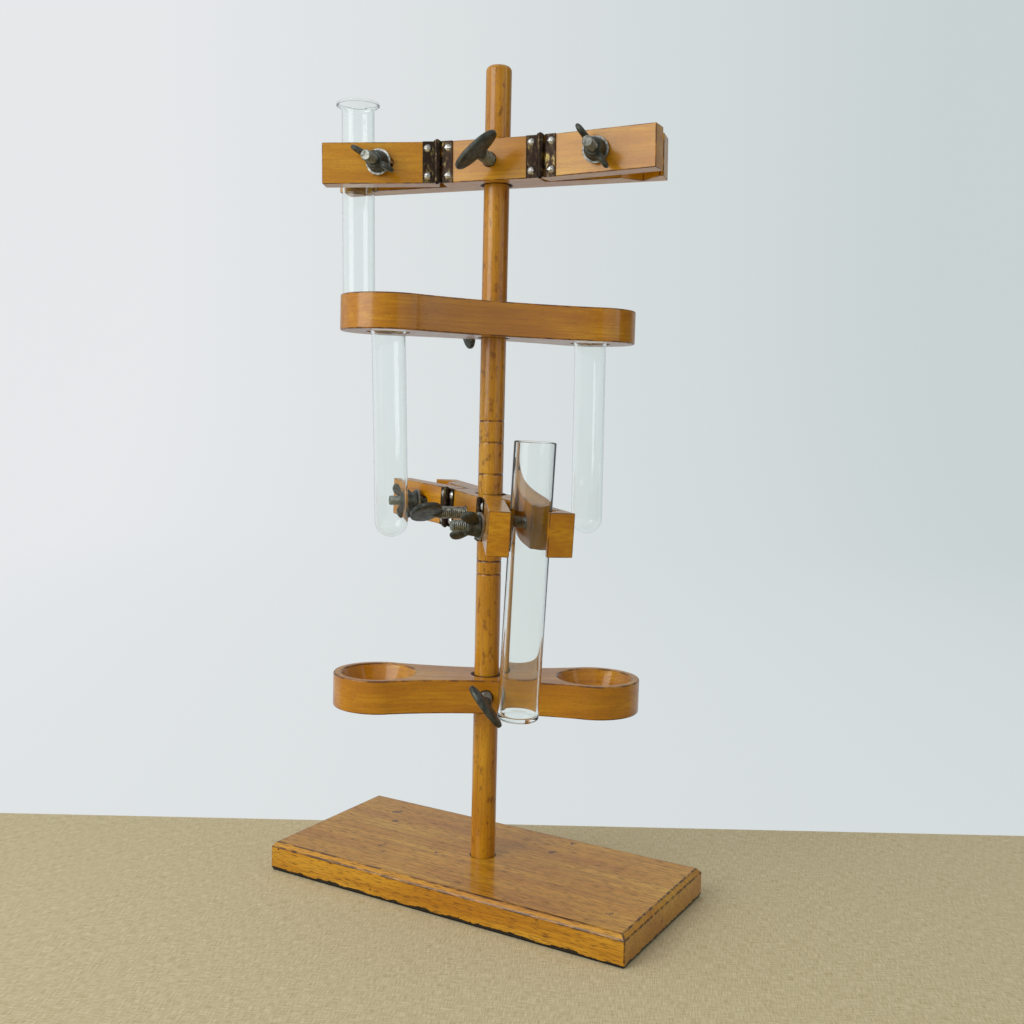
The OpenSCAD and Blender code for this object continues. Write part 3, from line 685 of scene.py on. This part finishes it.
# %% Wing nuts and bolts in place
WING_TURN = {
    "upper_clamp_left": 31.0, "upper_clamp_right": 126.0,
    "lower_clamp_left": 40.0, "lower_clamp_right": 35.0,
}
BOLT_R, BOLT_DEPTH, BOLT_PITCH, PLAIN_R = 3.95, 0.5, 1.41, 3.9
for name, seat in SEAT.items():
    clamp, side = name.rsplit("_", 1)
    x = -BOLT_X if side == "left" else BOLT_X
    mirror = -1.0 if side == "left" else 1.0
    spin = turn_matrix("Z", mirror * WING_TURN[name])
    shells = [(p @ spin.T, f) for p, f in (hub(), wing(1.0), wing(-1.0))]
    shells = [(put_on_rod(face_front(p, x, seat + NUT_LIFT), clamp), f) for p, f in shells]
    nut = make_piece(f"{name}_wing_cast", shells, f"{name}_nut", casting)
    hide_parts(f"{name}_wing_nut")
    thread, thread_faces = helix_thread(BOLT_R, BOLT_DEPTH, BOLT_PITCH, REACH - BAR_FRONT)
    dome = lathe([(0.0, -4.0), (3.5, -3.7), (6.5, -2.7), (8.4, -1.2), (9.0, 0.0), (PLAIN_R, 0.0),
                  (PLAIN_R, BAR_BACK + BAR_FRONT + 0.3)], 48)
    shells = [(thread + [0.0, 0.0, BAR_BACK + BAR_FRONT], thread_faces), dome]
    shells = [(put_on_rod(face_front(p, x, -BAR_BACK), clamp), f) for p, f in shells]
    bolt = make_piece(f"{name}_bolt_cut", shells, f"{clamp}_block", zinc)
    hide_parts(f"{name}_bolt")
print("wing nuts:", len(SEAT))

# %% [markdown]
# ## Small fittings
# Hinge leaves, pins, washers and screws already have their real shape in the CAD model, so
# they keep it and only receive a finish.

# %% Finishes for the CAD pieces
# The linings' dark leather is partly painted shade of the gap round the rod.
FITTINGS = {"leaf": brass, "pin": brass, "insert": brass, "screws": nickel, "washer": plate,
                "lining": leather, "felt": felt, "rod_screw": zinc}
for node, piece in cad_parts.items():
    for ending, finish in FITTINGS.items():
        if node.endswith(ending):
            piece.data.materials.clear()
            piece.data.materials.append(finish)
print("CAD pieces finished")

# %% [markdown]
# ## Blown glass
# The tubes are borosilicate glass a little over a millimetre thick. The wall is modelled
# with both its surfaces, because light bends at each of them, and that is what draws the
# edge lines and bright streaks of a real tube. Real glass of this kind has an index of
# 1.47. Here it is 1.36, which is not a real one, because that draws thinner edge lines.


# %% Glass shapes
def clear_glass():
    """Polished glass with a trace of green, and an index below the real one, as said above."""
    finish, tree, shader = new_finish("borosilicate glass")
    shader.inputs["Base Color"].default_value = paint("#fbfefd")
    shader.inputs["Transmission Weight"].default_value = 1.0
    shader.inputs["Roughness"].default_value = 0.0
    shader.inputs["IOR"].default_value = 1.36
    return finish


LIP_R, RIM_WALL = 0.95, 1.2
FLARE_END_OUT, FLARE_END_IN, WELL_ROUND = 2.0, 1.4, 2.0


def test_tube(length, r, wall, rim, flare_h=6.0):
    """Round bottom, straight wall and flared rim: outside going up, then inside going down."""
    a = np.linspace(-math.pi / 2, 0.0, 16)
    t = np.linspace(0.0, 1.0, 9)
    low = length - flare_h
    outer = np.vstack([
        np.stack([r * np.cos(a), r + r * np.sin(a)], axis=1),
        np.stack([r + (rim - r) * t ** 2, low + (flare_h - FLARE_END_OUT) * t], axis=1),
    ])
    b = np.linspace(-math.pi / 2 + 0.35, math.pi / 2, 9)
    lip_r, lip_z = rim - LIP_R + LIP_R * np.cos(b), length - LIP_R + LIP_R * np.sin(b)
    lip = np.stack([lip_r, lip_z], axis=1)
    inner_r, mouth_r = r - wall, rim - RIM_WALL
    flare = inner_r + (mouth_r - inner_r) * t ** 2
    inside = np.stack([flare, low + (flare_h - FLARE_END_IN) * t], axis=1)[::-1]
    cup = np.stack([inner_r * np.cos(a), wall + inner_r + inner_r * np.sin(a)], axis=1)[::-1]
    return lathe(np.vstack([outer, lip, inside, cup]), 96)


def flat_tube(length, r, wall, floor_t=3.0, edge=2.5):
    """Straight walls over a thick floor, every corner rounded."""
    a = np.linspace(-math.pi / 2, 0.0, 8)
    b = np.linspace(0.0, math.pi, 8)
    foot = np.stack([r - edge + edge * np.cos(a), edge + edge * np.sin(a)], axis=1)
    mid, half = r - wall / 2, wall / 2
    lip = np.stack([mid + half * np.cos(b), length - half + half * np.sin(b)], axis=1)
    inner = r - wall
    c = np.linspace(0.0, -math.pi / 2, 8)
    well_r = inner - WELL_ROUND + WELL_ROUND * np.cos(c)
    well_z = floor_t + WELL_ROUND + WELL_ROUND * np.sin(c)
    well = np.stack([well_r, well_z], axis=1)
    return lathe(np.vstack([[(0.0, 0.0)], foot, lip, well, [(0.0, floor_t)]]), 96)


glass = clear_glass()
print("glass finish:", glass.name)

# %% [markdown]
# ## Tubes in place
# Two tubes are gripped by the clamps and stand in line with them. Two hang by their rims in
# the conical rings of the upper arm. A rim rests where the cone is as wide as the rim, and
# the tube leans a little, because it hangs loose.

# %% Tubes in place
TUBE_L, TUBE_WALL, RIM_R, RIM_LIP = 153.0, 1.2, 16.2, 2.0
JAR_L, JAR_WALL = 189.5, 1.6
TUBE_RISE, JAR_RISE = 50.0, 60.5
ARM_H, RING_X, RING_TOP_R, RING_BOTTOM_R = 25.5, 83.0, 28.75, 15.25
LEAN_COMPASS, LEFT_LEAN, RIGHT_LEAN = 37.0, 1.9, 0.6


def lean_and_hang(points, x, lean):
    """A tube hung by its rim in a ring of the upper arm, leaning to a compass direction."""
    slope = (RING_TOP_R - RING_BOTTOM_R) / ARM_H
    seat = (RIM_R - RING_BOTTOM_R + REST) / slope + RIM_LIP
    lift = seat - ARM_H / 2 + RIM_R * math.sin(math.radians(lean))
    place = turn_matrix("Z", LEAN_COMPASS - CARRIERS["upper_arm"][1]) @ turn_matrix("Y", -lean)
    return (points + [0.0, 0.0, -TUBE_L]) @ place.T + [x, 0.0, lift]


points, faces = test_tube(TUBE_L, TUBE_R, TUBE_WALL, RIM_R)
held = points + [-NOTCH_X, -notch_seat(TUBE_R), TUBE_RISE - TUBE_L]
jar_points, jar_faces = flat_tube(JAR_L, JAR_R, JAR_WALL)
jar = jar_points + [NOTCH_X, -notch_seat(JAR_R), JAR_RISE - JAR_L]
left = lean_and_hang(points, RING_X, LEFT_LEAN)
right = lean_and_hang(points, -RING_X, RIGHT_LEAN)
for node, placed, carrier, mesh_faces in (
    ("clamped_tube", held, "upper_clamp", faces),
    ("left_ring_tube", left, "upper_arm", faces),
    ("right_ring_tube", right, "upper_arm", faces),
    ("flat_bottomed_tube", jar, "lower_clamp", jar_faces),
):
    shells = [(put_on_rod(placed, carrier), mesh_faces)]
    piece = make_piece(f"{node}_blown", shells, node, glass, 60)
    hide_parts(node)
print("tubes: 4")

# %% [markdown]
# ## The room
# The stand is on a linen cloth in front of a pale wall. Both are one surface: floor, a
# quarter circle and wall, in line with the camera. The wall shows its colour to the
# camera and through the glass by Light Path, so that the lamps can stay at a plain level.
# That colour carries a painted fall-off of light: lighter on the left, darker on the right.


# %% Floor and backdrop
def cove_profile(depth=2.2, radius=0.8, height=3.0):
    """Floor to the back, a quarter circle up, then the wall, in metres."""
    a = np.linspace(-math.pi / 2, 0.0, 24)
    curve = np.stack([depth + radius * np.cos(a), radius + radius * np.sin(a)], axis=1)
    return np.vstack([[(-3.5, 0.0)], curve, [(depth + radius, height)]])


YAW, FLOOR_DROP = 30.16, 0.0002
away = np.array([-math.sin(math.radians(YAW)), math.cos(math.radians(YAW))])
across = np.array([away[1], -away[0]])
profile = cove_profile()
width = np.linspace(-4.0, 4.0, 3)
room_grid = np.stack([
    profile[:, :1] * away[0] + width * across[0],
    profile[:, :1] * away[1] + width * across[1],
    profile[:, 1:] - FLOOR_DROP + 0.0 * width,
], axis=-1)
cols = len(width)
cells = [[r * cols + c, r * cols + c + 1, (r + 1) * cols + c + 1, (r + 1) * cols + c]
         for r in range(len(profile) - 1) for c in range(cols - 1)]
room_mesh = bpy.data.meshes.new("room")
room_mesh.from_pydata(room_grid.reshape(-1, 3).tolist(), [], cells)
room_mesh.polygons.foreach_set("use_smooth", [True] * len(cells))
room = bpy.data.objects.new("room", room_mesh)
scene.collection.objects.link(room)
print("room faces:", len(cells))

# %% Linen and wall
CLOTH_END, WALL_SHARE = 0.13, 0.94


def pale_room():
    """The cloth ends CLOTH_END metres behind the rod; past it the wall shows its colour, with a
    painted fall-off of light from left to right.
    """
    finish, tree, shader = new_finish("linen and pale wall")
    coords = add(tree, "ShaderNodeTexCoord").outputs["Object"]
    settings = {"operation": "DOT_PRODUCT", 0: coords, 1: (*away, 0.0)}
    behind = add(tree, "ShaderNodeVectorMath", settings).outputs["Value"]
    settings = {"operation": "GREATER_THAN", 0: behind, 1: CLOTH_END}
    wall = add(tree, "ShaderNodeMath", settings).outputs[0]
    warp = grain(tree, (9.0, 0.7, 5.0), 24.0)
    weft = grain(tree, (0.7, 9.0, 5.0), 24.0, (3, 3, 0))
    weave = add(tree, "ShaderNodeMath", {"operation": "ADD", 0: warp, 1: weft}).outputs[0]
    linen = stained(tree, paint("#bba97c"), "#dfd1ac", weave, 0.75, 1.25)
    tree.links.new(stained(tree, linen, "#e2e6e7", wall), shader.inputs["Base Color"])
    shader.inputs["Roughness"].default_value = 0.9
    # Painted fall-off of light across the wall: its tone goes from lighter on the left to darker
    # and cooler on the right.
    settings = {"operation": "DOT_PRODUCT", 0: coords, 1: (*across, 0.0)}
    sideways = add(tree, "ShaderNodeVectorMath", settings).outputs["Value"]
    tone = stained(tree, paint("#eaecee"), "#cbd5d5", sideways, -1.2, 1.4)
    glow = add(tree, "ShaderNodeEmission", {"Color": tone, "Strength": 1.0})
    rays = add(tree, "ShaderNodeLightPath").outputs
    settings = {"operation": "MAXIMUM", 0: rays["Is Camera Ray"], 1: rays["Is Transmission Ray"]}
    seen = add(tree, "ShaderNodeMath", settings).outputs[0]
    part = add(tree, "ShaderNodeMath", {"operation": "MULTIPLY", 0: seen, 1: wall}).outputs[0]
    settings = {"operation": "MULTIPLY", 0: part, 1: WALL_SHARE}
    share = add(tree, "ShaderNodeMath", settings).outputs[0]
    settings = {0: share, 1: shader.outputs[0], 2: glow.outputs[0]}
    both = add(tree, "ShaderNodeMixShader", settings)
    tree.links.new(both.outputs[0], tree.nodes["Material Output"].inputs["Surface"])
    return finish


room.data.materials.append(pale_room())
print("cloth ends behind the rod by", CLOTH_END, "m")

# %% [markdown]
# ## Daylight
# Two soft lamps stand for windows, and the sky is brighter to the upper left. A bright
# patch low on the right is only there for the varnish and the glass to mirror, so it is
# switched on for glossy rays alone. The camera sees a plain pale sky instead.

# %% Sky
SKY_AIM, PATCH_AIM = (-0.56, -0.32, 0.76), (0.985, -0.174, 0.0)
world = bpy.data.worlds.new("soft daylight")
scene.world = world
world.use_nodes = True
tree = world.node_tree
aim = add(tree, "ShaderNodeTexCoord").outputs["Generated"]
rays = add(tree, "ShaderNodeLightPath").outputs
settings = {"operation": "DOT_PRODUCT", 0: aim, 1: SKY_AIM}
toward = add(tree, "ShaderNodeVectorMath", settings).outputs["Value"]
settings = between(toward, -0.5, 0.9, 0.1, 0.85)
level = add(tree, "ShaderNodeMapRange", settings).outputs["Result"]
settings = {"operation": "DOT_PRODUCT", 0: aim, 1: PATCH_AIM}
toward = add(tree, "ShaderNodeVectorMath", settings).outputs["Value"]
patch = add(tree, "ShaderNodeMapRange", between(toward, 0.86, 0.95)).outputs["Result"]
settings = {"operation": "MULTIPLY", 0: patch, 1: rays["Is Glossy Ray"]}
patch = add(tree, "ShaderNodeMath", settings).outputs[0]
level = add(tree, "ShaderNodeMath", {"operation": "MAXIMUM", 0: level, 1: patch}).outputs[0]
base = tree.nodes["Background"]
base.inputs["Color"].default_value = paint("#f3f6f8")
tree.links.new(level, base.inputs["Strength"])
shown_world = add(tree, "ShaderNodeBackground", {"Color": paint("#e6ebec"), "Strength": 1.0})
settings = {"operation": "MAXIMUM", 0: rays["Is Camera Ray"], 1: rays["Is Transmission Ray"]}
shown = add(tree, "ShaderNodeMath", settings).outputs[0]
settings = {0: shown, 1: base.outputs[0], 2: shown_world.outputs[0]}
blend = add(tree, "ShaderNodeMixShader", settings)
tree.links.new(blend.outputs[0], tree.nodes["World Output"].inputs["Surface"])
print("sky nodes:", len(tree.nodes))


# %% Lamps
def window_lamp(name, azimuth, elevation, distance, size, radiance):
    """A rectangular lamp facing the stand; its power is radiance times pi times its area."""
    lamp = bpy.data.lights.new(name, "AREA")
    lamp.shape = "RECTANGLE"
    lamp.size, lamp.size_y = size
    lamp.energy = radiance * math.pi * size[0] * size[1]
    a, e = math.radians(azimuth), math.radians(elevation)
    out = np.array([math.cos(a) * math.cos(e), math.sin(a) * math.cos(e), math.sin(e)])
    side = np.array([-math.sin(a), math.cos(a), 0.0])
    up = np.cross(out, side)
    turn = Matrix(np.stack([side, up, out], axis=1).tolist()).to_4x4()
    spot = bpy.data.objects.new(name, lamp)
    scene.collection.objects.link(spot)
    spot.matrix_world = Matrix.Translation((out * distance + [0.0, 0.0, 0.3]).tolist()) @ turn
    return spot


window_lamp("left window", -112.0, 24.0, 1.7, (1.1, 1.4), 2.7)
window_lamp("right window", 12.0, 30.0, 1.9, (0.35, 1.6), 0.9)
print("lamps placed")

# %% [markdown]
# ## The camera
# The camera stands where the photograph was taken: worked out from the board's corners,
# the rod and the rings, it is 0.95 m away, a little above the middle and rolled slightly.
# Its focal length is a number of pixels on a picture 1024 pixels wide.

# %% Camera
PITCH, ROLL = 4.83, 1.29
FOCAL_PX, PICTURE_PX, SENSOR_MM = 1154.39, 1024.0, 36.0
EYE_PLACE = (0.454198, -0.748251, 0.365045)
yaw, pitch, roll = (math.radians(v) for v in (YAW, PITCH, ROLL))
level_right = np.array([math.cos(yaw), math.sin(yaw), 0.0])
flat_ahead = np.array([-math.sin(yaw), math.cos(yaw), 0.0])
ahead = flat_ahead * math.cos(pitch) - np.array([0.0, 0.0, math.sin(pitch)])
upward = np.cross(level_right, ahead)
right_way = math.cos(roll) * level_right + math.sin(roll) * upward
up_way = -math.sin(roll) * level_right + math.cos(roll) * upward
eye = bpy.data.cameras.new("photographer")
eye.sensor_width = SENSOR_MM
eye.lens = SENSOR_MM * FOCAL_PX / PICTURE_PX
eye.clip_start = 0.01
camera = bpy.data.objects.new("photographer", eye)
scene.collection.objects.link(camera)
turn = Matrix(np.stack([right_way, up_way, -ahead], axis=1).tolist()).to_4x4()
camera.matrix_world = Matrix.Translation(EYE_PLACE) @ turn
scene.camera = camera
scene.view_settings.view_transform = "Standard"
print("lens:", round(eye.lens, 2), "mm")
